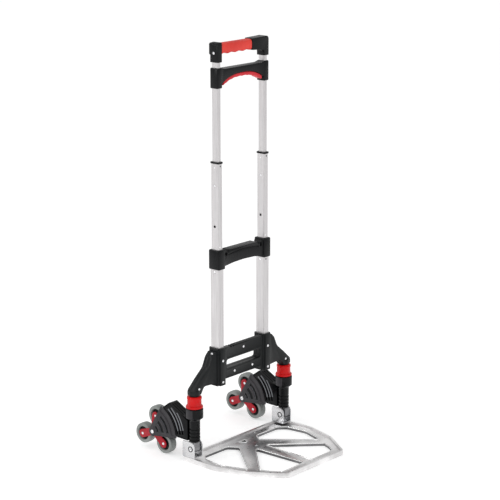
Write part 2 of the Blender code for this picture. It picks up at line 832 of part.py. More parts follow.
def small_wheel(side, arm, centre):
    label = f"{'l' if side < 0 else 'r'}{arm + 1}"
    radius = WHEEL_DIAMETER / 2
    half = WHEEL_WIDTH / 2
    bore = TYRE_BORE / 2
    tyre = [
        (bore, half),
        (radius - 0.005, half),
        (radius - 0.0012, half * 0.62),
        (radius, half * 0.2),
        (radius, -half * 0.2),
        (radius - 0.0012, -half * 0.62),
        (radius - 0.005, -half),
        (bore, -half),
    ]
    turned(f"tyre_{label}", tyre, "X", centre, "grey_tyre", 24)
    core_half = CORE_WIDTH / 2
    hole = 0.0043
    rim = bore - TOUCH
    neck = 0.0085
    end = half - TOUCH
    core = [
        (hole, end),
        (neck, end),
        (neck, core_half),
        (rim, core_half),
        (rim, -core_half),
        (neck, -core_half),
        (neck, -end),
        (hole, -end),
    ]
    turned(f"wheel_core_{label}", core, "X", centre, "black_plastic", 20)
    rod(
        f"wheel_rivet_{label}",
        0.004,
        -spider_outside,
        spider_outside,
        "X",
        centre,
        "steel",
        0.0006,
        12,
    )


def crossbar():
    """The middle crossbar: a collar on each outer tube's top and an arched bar between them."""
    bottom = crossbar_top - CROSSBAR_HEIGHT
    collar_width = OUTER_TUBE[0] + 2 * COLLAR_WALL
    collar_depth = OUTER_TUBE[1] + 2 * COLLAR_WALL
    end = tube_x - collar_width / 2 + 0.003
    half = CROSSBAR_DEPTH / 2
    arch = [
        (-end, bottom + 0.006),
        (-end + 0.012, bottom + 0.007),
        (-end / 2, bottom + 0.0105),
        (0, bottom + 0.012),
        (end / 2, bottom + 0.0105),
        (end - 0.012, bottom + 0.007),
        (end, bottom + 0.006),
    ]
    top = crossbar_top - 0.005
    notch = 0.014
    edge = [
        (end, top),
        (end - 0.008, top),
        (end - 0.010, top - 0.006),
        (end - 0.008 - notch, top - 0.006),
        (end - 0.012 - notch, top),
    ]
    outline = arch + edge + [(-u, v) for u, v in reversed(edge)]
    bar = prism("mid_crossbar", [outline], "Y", -half, half, "black_plastic")
    for side in (-1, 1):
        x = side * tube_x
        tag = side_name("mid_crossbar", side)
        low = (x - collar_width / 2, -collar_depth / 2, bottom)
        high = (x + collar_width / 2, collar_depth / 2, crossbar_top)
        collar = block(tag + "_collar", low, high, bevel=0.003)
        join(bar, collar)
    for side in (-1, 1):
        x = side * tube_x
        tag = side_name("mid_crossbar", side)
        outer_hole = tube_hole(tag + "_outer_hole", OUTER_TUBE, x, bottom - 0.01, outer_top + TOUCH)
        clear = 2 * (RUN - TOUCH)
        size = (MIDDLE_TUBE[0] + clear, MIDDLE_TUBE[1] + clear)
        inner_hole = tube_hole(tag + "_inner_hole", size, x, outer_top - 0.01, crossbar_top + 0.01)
        cut(bar, outer_hole, inner_hole)


def carry_arch(rise, drop, end, steps):
    """Points of the carry bar's arched underside, from left to right."""
    points = []
    for step in range(steps + 1):
        u = -end + 2 * end * step / steps
        level = 1 - (abs(u) / end) ** 2.6
        points.append((u, drop + (rise - drop) * level))
    return points


def carry_bar():
    """The bar at the upper tubes' top, arched below, with its finger-grip insert."""
    block_width = UPPER_TUBE[0] + 0.007
    end = tube_x - block_width / 2
    rise = carry_top - CARRY_MIDDLE
    drop = carry_bottom + 0.012
    half = CARRY_DEPTH / 2
    underside = carry_arch(rise, drop, end, GRIP_STEPS)
    outline = [(-end - 0.002, drop), *underside, (end + 0.002, drop)]
    level = carry_top - CARRY_STEP
    outline += [(end + 0.002, carry_top - 0.001), (end - 0.010, level)]
    outline += [(-end + 0.010, level), (-end - 0.002, carry_top - 0.001)]
    bar = prism("carry_bar", [outline], "Y", -half + 0.0006, half - 0.0006, "black_plastic")
    for side in (-1, 1):
        x = side * tube_x
        tag = side_name("carry_bar", side)
        low = (x - block_width / 2, -half, carry_bottom)
        high = (x + block_width / 2, half, carry_top)
        join(bar, block(tag + "_end", low, high, bevel=0.0025))
    for side in (-1, 1):
        tag = side_name("carry_bar", side)
        tool = tube_hole(tag + "_hole", UPPER_TUBE, side * tube_x, carry_bottom - 0.01, carry_top + 0.01)
        cut(bar, tool)

    depth = CARRY_DEPTH - 0.004
    sections = []
    for u, top in carry_arch(rise, drop, end, GRIP_STEPS):
        if abs(u) > end * 0.94:
            continue
        height = CARRY_INSERT + GRIP_WAVE / 2 * math.cos(8 * math.pi * u / end)
        outline = rectangle(depth, height, 0.002, (0, top - TOUCH - height / 2), 1)
        sections.append((u, outline))
    lofted("carry_grip", sections, "red_grip")


def handle():
    """Top handle: an end cap on each upper tube, a core tube across and a grip sleeve on it."""
    cap_width = UPPER_TUBE[0] + 2 * CAP_WALL
    cap_depth = UPPER_TUBE[1] + 2 * CAP_WALL
    inner_face = tube_x - cap_width / 2
    grip_ends = {side: inner_face - CAP_SHOULDER[side] for side in (-1, 1)}
    core_end = tube_x - UPPER_TUBE[0] / 2 - TOUCH
    half = cap_depth / 2
    for side in (-1, 1):
        x = side * tube_x
        name = side_name("handle_cap", side)
        inner = grip_ends[side]
        corners = [
            (tube_x + cap_width / 2, cap_bottom, 0),
            (tube_x + cap_width / 2, cap_top, 0.008),
        ]
        if CAP_SHOULDER[side]:
            under = grip_middle - GRIP_HEIGHT / 2
            corners += [
                (inner, cap_top - 0.002, 0.002),
                (inner, under, 0.002),
                (inner_face, under - 0.003, 0.014),
            ]
        else:
            corners.append((inner, cap_top, 0.003))
        corners.append((inner_face, cap_bottom, 0))
        outline = rounded([(side * u, v, radius) for u, v, radius in corners])
        cap = prism(name, [outline], "Y", -half, half, "black_plastic")
        round_edges(cap, 0.0015, 1, 60)
        bulge = block(
            name + "_bulge",
            (x - cap_width / 2 + 0.0005, 0, cap_bottom + 0.018),
            (x + cap_width / 2 - 0.0005, half + CAP_BULGE, cap_top - 0.0012),
            bevel=0.004,
        )
        leg_hole = tube_hole(name + "_leg", UPPER_TUBE, x, cap_bottom - 0.01, cap_top - CAP_WALL)
        core_hole = rod(
            name + "_core_hole",
            CORE_DIAMETER / 2 + TOUCH,
            *sorted((0, side * (core_end + 0.002))),
            "X",
            (0, 0, grip_middle),
            steps=16,
        )
        join(cap, bulge)
        cut(cap, leg_hole, core_hole)
        face = tube_x + cap_width / 2
        rivet = rod(
            side_name("handle_rivet", side),
            0.0035,
            TOUCH,
            0.0016,
            "X",
            (side * face, 0, cap_bottom + 0.024),
            "steel",
            0.0005,
            12,
        )
        if side < 0:
            rivet.data.transform(Matrix.Translation((-0.0016 - TOUCH, 0, 0)))

    core = [
        (CORE_DIAMETER / 2, core_end),
        (CORE_DIAMETER / 2, -core_end),
        (CORE_DIAMETER / 2 - 0.0015, -core_end),
        (CORE_DIAMETER / 2 - 0.0015, core_end),
    ]
    turned("handle_core", core, "X", (0, 0, grip_middle), "steel", 16)

    start = TOUCH - grip_ends[-1]
    length = grip_ends[1] - TOUCH - start
    grip_bottom = grip_middle - GRIP_HEIGHT / 2 + GRIP_WAVE
    sections = []
    for step in range(GRIP_STEPS + 1):
        u = start + length * step / GRIP_STEPS
        bottom = grip_bottom - GRIP_WAVE * math.cos(8 * math.pi * step / GRIP_STEPS)
        height = grip_middle + GRIP_HEIGHT / 2 - bottom
        sections.append((u, rectangle(GRIP_DEPTH, height, 0.007, (0, bottom + height / 2))))
    grip = lofted("handle_grip", sections, "red_grip")
    bore = rod(
        "handle_grip_bore",
        CORE_DIAMETER / 2 + TOUCH,
        -tube_x,
        tube_x,
        "X",
        (0, 0, grip_middle),
        steps=16,
    )
    cut(grip, bore)


def put_origin(name, centre):
    """Moves an object's origin onto its joint's axis, with its shape left where it is."""
    obj = bpy.data.objects[name]
    obj.data.transform(Matrix.Translation(-Vector(centre)))
    obj.location = centre


def put_origins(side):
    """The origins of one side's turning and pressing pieces."""
    x = side * column_x
    put_origin(side_name("plate_ear", side), (x, 0, PIVOT_HEIGHT))
    put_origin(side_name("wheel_bracket", side), (x, 0, barrel_bottom))
    for base in ("spider", "star_axle"):
        put_origin(side_name(base, side), (x, HUB_REACH, HUB_HEIGHT))
    for arm in range(3):
        label = f"{'l' if side < 0 else 'r'}{arm + 1}"
        for base in ("tyre", "wheel_core", "wheel_rivet"):
            put_origin(f"{base}_{label}", wheel_centre(side, arm))
    put_origin(side_name("outer_button", side), (side * tube_x, 0, outer_top - OUTER_BUTTON_DROP))
    put_origin(side_name("middle_button", side), (side * tube_x, 0, middle_top - MIDDLE_BUTTON_DROP))


shell_half("lower_frame_front", -1)
shell_half("lower_frame_rear", 1)
for side in (-1, 1):
    frame_tubes(side)
    column(side)
    ear(side)
    wheel_bracket(side)
    star(side)
toe_plate()
crossbar()
carry_bar()
handle()
put_origin("toe_plate", (0, 0, PIVOT_HEIGHT))
for side in (-1, 1):
    put_origins(side)
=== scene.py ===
import math

import bpy
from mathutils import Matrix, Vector


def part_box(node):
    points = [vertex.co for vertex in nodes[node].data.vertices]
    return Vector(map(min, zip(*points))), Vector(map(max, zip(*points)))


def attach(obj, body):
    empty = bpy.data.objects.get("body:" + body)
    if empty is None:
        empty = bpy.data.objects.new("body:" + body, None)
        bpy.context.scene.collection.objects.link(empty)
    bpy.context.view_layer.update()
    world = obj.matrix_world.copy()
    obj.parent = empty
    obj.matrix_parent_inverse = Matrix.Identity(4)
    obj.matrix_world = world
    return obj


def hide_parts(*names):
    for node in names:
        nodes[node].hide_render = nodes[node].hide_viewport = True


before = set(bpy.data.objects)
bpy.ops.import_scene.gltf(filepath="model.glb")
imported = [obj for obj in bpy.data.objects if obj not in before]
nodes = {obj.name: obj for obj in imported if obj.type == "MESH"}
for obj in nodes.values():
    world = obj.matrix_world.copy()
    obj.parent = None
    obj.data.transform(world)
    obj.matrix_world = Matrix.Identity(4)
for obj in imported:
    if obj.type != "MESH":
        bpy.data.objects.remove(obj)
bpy.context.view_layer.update()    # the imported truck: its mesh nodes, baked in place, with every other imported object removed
sides = {"l": -1, "r": 1}
turns = {
    "X": (0, math.pi / 2, 0),
    "-X": (0, -math.pi / 2, 0),
    "-Y": (math.pi / 2, 0, 0),
    "Z": (0, 0, 0),
}
weld = {"new": 0.00001, "copied": 0.00002, "flatWithin": 0.5}    # metres, metres, degrees
cutClear = 0.002    # how far a cutter stands off the face it cuts
hair = 0.0001       # places closer than this count as the same


# small helpers

def pick(obj):
    bpy.ops.object.select_all(action="DESELECT")
    obj.select_set(True)
    bpy.context.view_layer.objects.active = obj


def middle(node):
    low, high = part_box(node)
    return (low + high) / 2


def bake(obj):
    # location, turn and size go into the mesh, so every pattern stays where it is
    pick(obj)
    bpy.ops.object.transform_apply(location=True, rotation=True, scale=True)


def tidyNormals(obj):
    pick(obj)
    bpy.ops.object.mode_set(mode="EDIT")
    bpy.ops.mesh.select_all(action="SELECT")
    bpy.ops.mesh.remove_doubles(threshold=weld["new"])
    bpy.ops.mesh.normals_make_consistent(inside=False)
    bpy.ops.object.mode_set(mode="OBJECT")


def applyAll(obj):
    pick(obj)
    for modifier in list(obj.modifiers):
        bpy.ops.object.modifier_apply(modifier=modifier.name)


def soften(obj, width, segments=2, angle=35):
    bevel = obj.modifiers.new("edges", "BEVEL")
    bevel.width = width
    bevel.segments = segments
    bevel.limit_method = "ANGLE"
    bevel.angle_limit = math.radians(angle)
    applyAll(obj)


def carve(obj, *tools, operation="DIFFERENCE", solver="MANIFOLD"):
    for tool in tools:
        boolean = obj.modifiers.new("carve", "BOOLEAN")
        boolean.operation = operation
        boolean.solver = solver
        boolean.object = tool
    applyAll(obj)
    for tool in tools:
        bpy.data.objects.remove(tool)


def copyOf(node, name, flat=True):
    # a merged copy of a frame piece, ready for finer edges; a pierced plate keeps its triangles
    obj = bpy.data.objects.new(name, nodes[node].data.copy())
    bpy.context.scene.collection.objects.link(obj)
    pick(obj)
    bpy.ops.object.mode_set(mode="EDIT")
    bpy.ops.mesh.select_all(action="SELECT")
    bpy.ops.mesh.remove_doubles(threshold=weld["copied"])
    if flat:
        bpy.ops.mesh.dissolve_limited(angle_limit=math.radians(weld["flatWithin"]))
    bpy.ops.object.mode_set(mode="OBJECT")
    return obj


def brick(name, low, high):
    size = [b - a for a, b in zip(low, high)]
    centre = [(a + b) / 2 for a, b in zip(low, high)]
    bpy.ops.mesh.primitive_cube_add(size=1, location=centre)
    obj = bpy.context.object
    obj.name = name
    obj.scale = size
    bake(obj)
    return obj


def turnedPiece(name, profile, axis, centre, steps=48, bored=False):
    # a ring grown along its axis: each pair in the profile is (radius, height)
    radius, height = profile[0]
    bpy.ops.mesh.primitive_circle_add(
        vertices=steps,
        radius=radius,
        location=(0, 0, height),
        fill_type="NOTHING" if bored else "NGON",
    )
    obj = bpy.context.object
    obj.name = name
    bpy.ops.object.transform_apply(location=True, rotation=False, scale=False)
    bpy.ops.object.mode_set(mode="EDIT")
    bpy.ops.mesh.select_all(action="SELECT")
    for nextRadius, nextHeight in profile[1:]:
        move = (0, 0, nextHeight - height)
        bpy.ops.mesh.extrude_region_move(TRANSFORM_OT_translate={"value": move})
        grow = nextRadius / radius
        bpy.ops.transform.resize(value=(grow, grow, 1), center_override=(0, 0, nextHeight))
        radius, height = nextRadius, nextHeight
    if bored:
        bpy.ops.mesh.select_mode(type="EDGE")
        bpy.ops.mesh.select_all(action="DESELECT")
        bpy.ops.mesh.select_non_manifold()
        bpy.ops.mesh.bridge_edge_loops()
        bpy.ops.mesh.select_mode(type="VERT")
    bpy.ops.object.mode_set(mode="OBJECT")
    obj.location = centre
    obj.rotation_euler = turns[axis]
    bake(obj)
    tidyNormals(obj)
    return obj


def arcBar(name, hub, radii, angles, across, steps=14):
    # a flat bar swept round the hub; angles run from straight ahead (-Y) up to +Z
    low, high = radii
    start, end = (math.radians(angle) for angle in angles)
    reach = (low + high) / 2
    bpy.ops.mesh.primitive_plane_add(size=1)
    obj = bpy.context.object
    obj.name = name
    obj.scale = (across[1] - across[0], high - low, 1)
    obj.rotation_euler = (-start, 0, 0)
    obj.location = (
        sum(across) / 2,
        hub[0] - reach * math.cos(start),
        hub[1] + reach * math.sin(start),
    )
    bake(obj)
    bpy.ops.object.mode_set(mode="EDIT")
    bpy.ops.mesh.select_all(action="SELECT")
    bpy.ops.mesh.spin(steps=steps, angle=end - start, center=(0, *hub), axis=(1, 0, 0))
    bpy.ops.object.mode_set(mode="OBJECT")
    tidyNormals(obj)
    return obj


def joined(name, objs):
    bpy.ops.object.select_all(action="DESELECT")
    for obj in objs:
        obj.select_set(True)
    bpy.context.view_layer.objects.active = objs[0]
    bpy.ops.object.join()
    objs[0].name = name
    return objs[0]


def finishPiece(obj, body, slot, material, *stoodFor, smooth=35):
    pick(obj)
    bpy.ops.object.shade_smooth_by_angle(angle=math.radians(smooth))
    obj.data.materials.clear()
    obj.data.materials.append(material)
    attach(obj, body)
    if stoodFor:
        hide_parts(*stoodFor)
    return obj


def paintFaces(obj, material, test):
    # a second finish on the faces that the test picks by place and normal
    obj.data.materials.append(material)
    index = len(obj.data.materials) - 1
    for face in obj.data.polygons:
        if test(face.center, face.normal):
            face.material_index = index


def keepNode(node, material):
    obj = nodes[node]
    obj.data.materials.clear()
    obj.data.materials.append(material)


# materials

def newFinish(name, colour, rough, metallic=0.0):
    material = bpy.data.materials.new(name)
    material.use_nodes = True
    shader = material.node_tree.nodes["Principled BSDF"]
    shader.inputs["Base Color"].default_value = (*colour, 1)
    shader.inputs["Roughness"].default_value = rough
    shader.inputs["Metallic"].default_value = metallic
    return material, shader


def pattern(material, scale, stretch=(1, 1, 1), detail=4):
    tree = material.node_tree
    place = tree.nodes.new("ShaderNodeTexCoord")
    mapping = tree.nodes.new("ShaderNodeMapping")
    mapping.inputs["Scale"].default_value = stretch
    texture = tree.nodes.new("ShaderNodeTexNoise")
    texture.inputs["Scale"].default_value = scale
    texture.inputs["Detail"].default_value = detail
    tree.links.new(place.outputs["Object"], mapping.inputs["Vector"])
    tree.links.new(mapping.outputs["Vector"], texture.inputs["Vector"])
    return texture.outputs[0]


def spread(material, source, low, high, fromLow=0.3, fromHigh=0.7):
    node = material.node_tree.nodes.new("ShaderNodeMapRange")
    node.inputs["From Min"].default_value = fromLow
    node.inputs["From Max"].default_value = fromHigh
    node.inputs["To Min"].default_value = low
    node.inputs["To Max"].default_value = high
    material.node_tree.links.new(source, node.inputs["Value"])
    return node.outputs["Result"]


def tint(material, source, first, second, shader):
    mix = material.node_tree.nodes.new("ShaderNodeMix")
    mix.data_type = "RGBA"
    mix.inputs["A"].default_value = (*first, 1)
    mix.inputs["B"].default_value = (*second, 1)
    material.node_tree.links.new(source, mix.inputs["Factor"])
    material.node_tree.links.new(mix.outputs["Result"], shader.inputs["Base Color"])


def relief(material, shader, *layers):
    # each layer is (pattern, strength, depth in metres), one bump on the next
    last = None
    for source, strength, depth in layers:
        bump = material.node_tree.nodes.new("ShaderNodeBump")
        bump.inputs["Strength"].default_value = strength
        bump.inputs["Distance"].default_value = depth
        material.node_tree.links.new(source, bump.inputs["Height"])
        if last:
            material.node_tree.links.new(last.outputs["Normal"], bump.inputs["Normal"])
        last = bump
    material.node_tree.links.new(last.outputs["Normal"], shader.inputs["Normal"])


# moulded plastic: a slow cloud of tone, scuffs along the height, and a fine grain
moulding = {
    "cloud": 22,
    "scuff": 160,
    "scuffStretch": (1, 1, 0.35),
    "wave": (0.12, 0.0006),    # strength and depth of the surface's slow wave
    "grain": (0.25, 0.00012),
}


def mouldedPlastic(name, dark, light, rough, grain, shine):
    material, shader = newFinish(name, dark, rough[0])
    shader.inputs["Specular IOR Level"].default_value = shine
    cloud = pattern(material, moulding["cloud"], detail=5)
    tint(material, spread(material, cloud, 0, 1), dark, light, shader)
    scuff = pattern(material, moulding["scuff"], moulding["scuffStretch"], 6)
    material.node_tree.links.new(spread(material, scuff, *rough), shader.inputs["Roughness"])
    fine = pattern(material, grain, detail=2)
    relief(material, shader, (cloud, *moulding["wave"]), (fine, *moulding["grain"]))
    return material


# drawn metal: streaks along the draw, and a slow change of gloss
drawing = {"cloud": 9, "contrast": (0.35, 0.65), "scratch": (0.35, 0.00003)}


def drawnMetal(name, dark, light, rough, stretch, lines):
    material, shader = newFinish(name, light, rough[0], 1.0)
    streak = pattern(material, lines, stretch, 3)
    cloud = pattern(material, drawing["cloud"], detail=3)
    tint(material, spread(material, streak, 0, 1, *drawing["contrast"]), dark, light, shader)
    material.node_tree.links.new(spread(material, cloud, *rough), shader.inputs["Roughness"])
    relief(material, shader, (streak, *drawing["scratch"]))
    return material


# cast metal: patches of skin, small nicks, and a sandy grain
casting = {
    "cloud": 14,
    "contrast": (0.38, 0.62),
    "nick": 260,
    "nickStretch": (1, 0.3, 1),
    "wave": (0.10, 0.0005),
    "grain": (0.30, 0.00010),
}


def castMetal(name, dark, light, rough, grain):
    material, shader = newFinish(name, light, rough[0], 1.0)
    cloud = pattern(material, casting["cloud"], detail=6)
    tint(material, spread(material, cloud, 0, 1, *casting["contrast"]), dark, light, shader)
    nick = pattern(material, casting["nick"], casting["nickStretch"], 5)
    material.node_tree.links.new(spread(material, nick, *rough), shader.inputs["Roughness"])
    fine = pattern(material, grain, detail=3)
    relief(material, shader, (cloud, *casting["wave"]), (fine, *casting["grain"]))
    return material


def paintedShadeAround(material, centre, reach, shade):
    # painted shade: the colour is mixed towards a darker tone near one place, fading out with distance
    tree = material.node_tree
    shader = tree.nodes["Principled BSDF"]
    place = tree.nodes.new("ShaderNodeTexCoord")
    distance = tree.nodes.new("ShaderNodeVectorMath")
    distance.operation = "DISTANCE"
    distance.inputs[1].default_value = centre
    tree.links.new(place.outputs["Object"], distance.inputs[0])
    fade = tree.nodes.new("ShaderNodeMapRange")
    fade.interpolation_type = "SMOOTHSTEP"
    fade.inputs["From Min"].default_value = reach[0]
    fade.inputs["From Max"].default_value = reach[1]
    tree.links.new(distance.outputs["Value"], fade.inputs["Value"])
    source = shader.inputs["Base Color"].links[0].from_socket
    mix = tree.nodes.new("ShaderNodeMix")
    mix.data_type = "RGBA"
    mix.inputs["A"].default_value = (*shade, 1)
    tree.links.new(source, mix.inputs["B"])
    tree.links.new(fade.outputs["Result"], mix.inputs["Factor"])
    tree.links.new(mix.outputs["Result"], shader.inputs["Base Color"])


blackPlastic = mouldedPlastic(
    "blackPlastic",
    dark=(0.0032, 0.0036, 0.0044),
    light=(0.0070, 0.0075, 0.0082),
    rough=(0.20, 0.36),
    grain=1500,
    shine=0.16,
)
glossBlack = mouldedPlastic(
    "glossBlack",
    dark=(0.0022, 0.0026, 0.0032),
    light=(0.0052, 0.0056, 0.0062),
    rough=(0.10, 0.22),
    grain=1500,
    shine=0.16,
)
framePlastic = mouldedPlastic(
    "framePlastic",
    dark=(0.0045, 0.0058, 0.0066),
    light=(0.0095, 0.0108, 0.0112),
    rough=(0.28, 0.44),
    grain=1300,
    shine=0.18,
)
deepBlack = mouldedPlastic(
    "deepBlack",
    dark=(0.004, 0.004, 0.004),
    light=(0.008, 0.008, 0.008),
    rough=(0.5, 0.65),
    grain=1300,
    shine=0.2,
)
collarRed = mouldedPlastic(
    "collarRed",
    dark=(0.50, 0.002, 0.003),
    light=(0.64, 0.004, 0.005),
    rough=(0.12, 0.24),
    grain=1800,
    shine=0.22,
)
spiderRed = mouldedPlastic(
    "spiderRed",
    dark=(0.30, 0.002, 0.010),
    light=(0.42, 0.005, 0.018),
    rough=(0.16, 0.30),
    grain=1800,
    shine=0.25,
)
gripRed = mouldedPlastic(
    "gripRed",
    dark=(0.62, 0.030, 0.022),
    light=(0.76, 0.048, 0.034),
    rough=(0.46, 0.60),
    grain=1100,
    shine=0.35,
)
insertRed = mouldedPlastic(
    "insertRed",
    dark=(0.52, 0.012, 0.022),
    light=(0.66, 0.022, 0.034),
    rough=(0.42, 0.55),
    grain=1100,
    shine=0.35,
)
tyreGrey = mouldedPlastic(
    "tyreGrey",
    dark=(0.20, 0.215, 0.205),
    light=(0.28, 0.295, 0.285),
    rough=(0.50, 0.68),
    grain=900,
    shine=0.4,
)
tubeMetal = drawnMetal(
    "tubeMetal",
    dark=(0.55, 0.535, 0.54),
    light=(0.66, 0.645, 0.65),
    rough=(0.34, 0.44),
    stretch=(1, 1, 0.012),
    lines=900,
)
plateMetal = castMetal(
    "plateMetal",
    dark=(0.70, 0.69, 0.69),
    light=(0.94, 0.93, 0.93),
    rough=(0.24, 0.42),
    grain=700,
)
# painted shade on the toe plate, darkest round its hub
paintedShadeAround(plateMetal, centre=(0, -0.055, 0), reach=(0.01, 0.14), shade=(0.46, 0.46, 0.47))
earMetal = castMetal(
    "earMetal",
    dark=(0.44, 0.45, 0.47),
    light=(0.66, 0.66, 0.67),
    rough=(0.20, 0.36),
    grain=1100,
)
# a darker copy of the cast metal for the window walls: painted shade
paintedShadeCasting = castMetal(
    "paintedShadeCasting",
    dark=(0.13, 0.13, 0.135),
    light=(0.26, 0.26, 0.265),
    rough=(0.45, 0.62),
    grain=500,
)
# a lighter, glossier copy of the cast metal for the window beads: painted highlight
beadHighlightMetal = castMetal(
    "beadHighlightMetal",
    dark=(0.86, 0.86, 0.86),
    light=(0.97, 0.97, 0.97),
    rough=(0.16, 0.28),
    grain=900,
)
# a lighter grey for the fork plates' outer faces, so the gloss black groove floors read darker: painted
# light and shade
forkLitGrey = mouldedPlastic(
    "forkLitGrey",
    dark=(0.020, 0.0185, 0.022),
    light=(0.038, 0.035, 0.040),
    rough=(0.38, 0.52),
    grain=1300,
    shine=0.3,
)
# a lighter grey for the tops of the fender ribs: painted sheen
ribPaintedSheen = mouldedPlastic(
    "ribPaintedSheen",
    dark=(0.080, 0.084, 0.094),
    light=(0.170, 0.176, 0.190),
    rough=(0.16, 0.30),
    grain=1500,
    shine=0.5,
)
# a dark copy of the cast metal for the column feet: painted shade for the gap in each ear
footShadeMetal = castMetal(
    "footShadeMetal",
    dark=(0.16, 0.16, 0.17),
    light=(0.30, 0.30, 0.31),
    rough=(0.30, 0.45),
    grain=1100,
)
brightSteel = drawnMetal(
    "brightSteel",
    dark=(0.74, 0.74, 0.76),
    light=(0.92, 0.92, 0.93),
    rough=(0.14, 0.26),
    stretch=(1, 1, 1),
    lines=400,
)
print("finishes mixed")

# camera: the truck seen from its left front, a little above
viewPoint = {
    "place": (-3.519, -3.095, 1.727),
    "azimuth": -48.99,
    "elevation": 14.2,
    "lens": 131.7,
    "sensor": 36,
    "farthest": 200,
}
bpy.ops.object.camera_add(
    location=viewPoint["place"],
    rotation=(math.radians(90 - viewPoint["elevation"]), 0, math.radians(viewPoint["azimuth"])),
)
camera = bpy.context.object
camera.name = "studioCamera"
camera.data.lens = viewPoint["lens"]
camera.data.sensor_width = viewPoint["sensor"]
camera.data.clip_end = viewPoint["farthest"]
bpy.context.scene.camera = camera

# floor and light: a white sweep, brighter overhead than round the sides
studio = {
    "overhead": 0.80,
    "around": 0.60,
    "sweep": (0.05, 0.75),
    "glow": 0.34,
    "floor": 0.90,
    "floorRough": 0.9,
    "floorShine": 0.1,
    "floorSize": 80,
    "floorDrop": 0.0005,
}
lamps = {
    "keyLight": {"place": (-0.6, -3.0, 2.4), "target": (0, 0, 0.45), "size": 1.0, "power": 12},
    "fillLight": {"place": (-2.4, 0.9, 1.5), "target": (0, 0, 0.2), "size": 0.5, "power": 9},
    "rimLight": {"place": (-1.6, 2.2, 2.4), "target": (0, 0, 0.5), "size": 1.2, "power": 10},
}
world = bpy.data.worlds.new("studio")
bpy.context.scene.world = world
world.use_nodes = True
tree = world.node_tree
background = tree.nodes["Background"]
direction = tree.nodes.new("ShaderNodeTexCoord")
split = tree.nodes.new("ShaderNodeSeparateXYZ")
lift = tree.nodes.new("ShaderNodeMapRange")
lift.interpolation_type = "SMOOTHSTEP"
lift.inputs["From Min"].default_value = studio["sweep"][0]
lift.inputs["From Max"].default_value = studio["sweep"][1]
lift.inputs["To Min"].default_value = studio["around"]
lift.inputs["To Max"].default_value = studio["overhead"]
seen = tree.nodes.new("ShaderNodeLightPath")
choose = tree.nodes.new("ShaderNodeMix")
choose.inputs["B"].default_value = 1.0
tree.links.new(direction.outputs["Generated"], split.inputs["Vector"])
tree.links.new(split.outputs["Z"], lift.inputs["Value"])
tree.links.new(lift.outputs["Result"], choose.inputs["A"])
tree.links.new(seen.outputs["Is Camera Ray"], choose.inputs["Factor"])
tree.links.new(choose.outputs["Result"], background.inputs["Strength"])
background.inputs["Color"].default_value = (1, 1, 1, 1)
bpy.context.scene.view_settings.view_transform = "Standard"

bpy.ops.mesh.primitive_plane_add(size=studio["floorSize"], location=(0, 0, -studio["floorDrop"]))
floor = bpy.context.object
floor.name = "studioFloor"
paleFloor, floorShader = newFinish("paleFloor", (studio["floor"],) * 3, studio["floorRough"])
floorShader.inputs["Specular IOR Level"].default_value = studio["floorShine"]
floorShader.inputs["Emission Color"].default_value = (1, 1, 1, 1)
floorShader.inputs["Emission Strength"].default_value = studio["glow"]
floor.data.materials.append(paleFloor)


def softLight(name, place, target, size, power):
    bpy.ops.object.light_add(type="AREA", location=place)
    lamp = bpy.context.object
    lamp.name = name
    lamp.data.size = size
    lamp.data.energy = power
    lamp.rotation_euler = (Vector(target) - Vector(place)).to_track_quat("-Z", "Y").to_euler()


for name, lamp in lamps.items():
    softLight(name, **lamp)
print("camera and studio set")

# telescoping tubes keep their frame shapes
for tag in sides:
    for stage in ("outer_tube", "middle_tube", "upper_tube"):
        keepNode(f"{stage}_{tag}", tubeMetal)
    for node in ("outer_button", "middle_button", "column", "handle_rivet"):
        keepNode(f"{node}_{tag}", brightSteel)
    keepNode(f"guide_ring_{tag}", blackPlastic)
keepNode("handle_core", brightSteel)

# dimples and blind rivets on the tubes; each dimple is a low disc in deep black, painted shade for its
# hollow
spot = {
    "radius": 0.0021,
    "rise": 0.0002,
    "root": 0.0002,
    "steps": 16,
    "inward": 0.003,
    "stopDrop": 0.006,
    "sideDrop": 0.010,
    "aboveBar": 0.008,
    "belowBar": 0.005,
}


def tubeSpot(name, place, axis):
    radius, rise = spot["radius"], spot["rise"]
    profile = [(radius, -spot["root"]), (radius, rise * 0.5), (radius * 0.7, rise), (radius * 0.2, rise)]
    return turnedPiece(name, profile, axis, place, spot["steps"])


darkSpots = []
paleSpots = []
crossbarLow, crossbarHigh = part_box("mid_crossbar")
for tag in sides:
    low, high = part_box(f"middle_tube_{tag}")
    x = (low.x + high.x) / 2
    place = (x, low.y, high.z - spot["stopDrop"])
    darkSpots.append(tubeSpot(f"stopDimple_{tag}", place, "-Y"))
    place = (low.x, (low.y + high.y) / 2, high.z - spot["sideDrop"])
    paleSpots.append(tubeSpot(f"sideRivet_{tag}", place, "-X"))
    place = (x - spot["inward"], low.y, crossbarHigh.z + spot["aboveBar"])
    paleSpots.append(tubeSpot(f"frontRivet_{tag}", place, "-Y"))
finishPiece(joined("stopDimples", darkSpots), "middle_stage", "black_plastic", deepBlack)
finishPiece(joined("middleRivets", paleSpots), "middle_stage", "steel", brightSteel)
# the lower dimple is a deep black disc too: painted shade
low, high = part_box("outer_tube_r")
place = ((low.x + high.x) / 2 - spot["inward"], low.y, crossbarLow.z - spot["belowBar"])
finishPiece(tubeSpot("outerDimple", place, "-Y"), "frame", "black_plastic", deepBlack)

# screws: one shape, set wherever one is driven
screw = {"radius": 0.0034, "rise": 0.0012, "root": 0.0004, "socket": 0.0013, "steps": 18}


def screwHead(name, place, axis, grow=1.0):
    r = screw["radius"] * grow
    rise = screw["rise"] * grow
    socket = screw["socket"] * grow
    profile = [
        (r, -screw["root"]),
        (r, rise * 0.35),
        (r * 0.86, rise * 0.8),
        (r * 0.62, rise),
        (socket, rise),
        (socket * 0.9, rise * 0.15),
    ]
    return turnedPiece(name, profile, axis, place, screw["steps"])


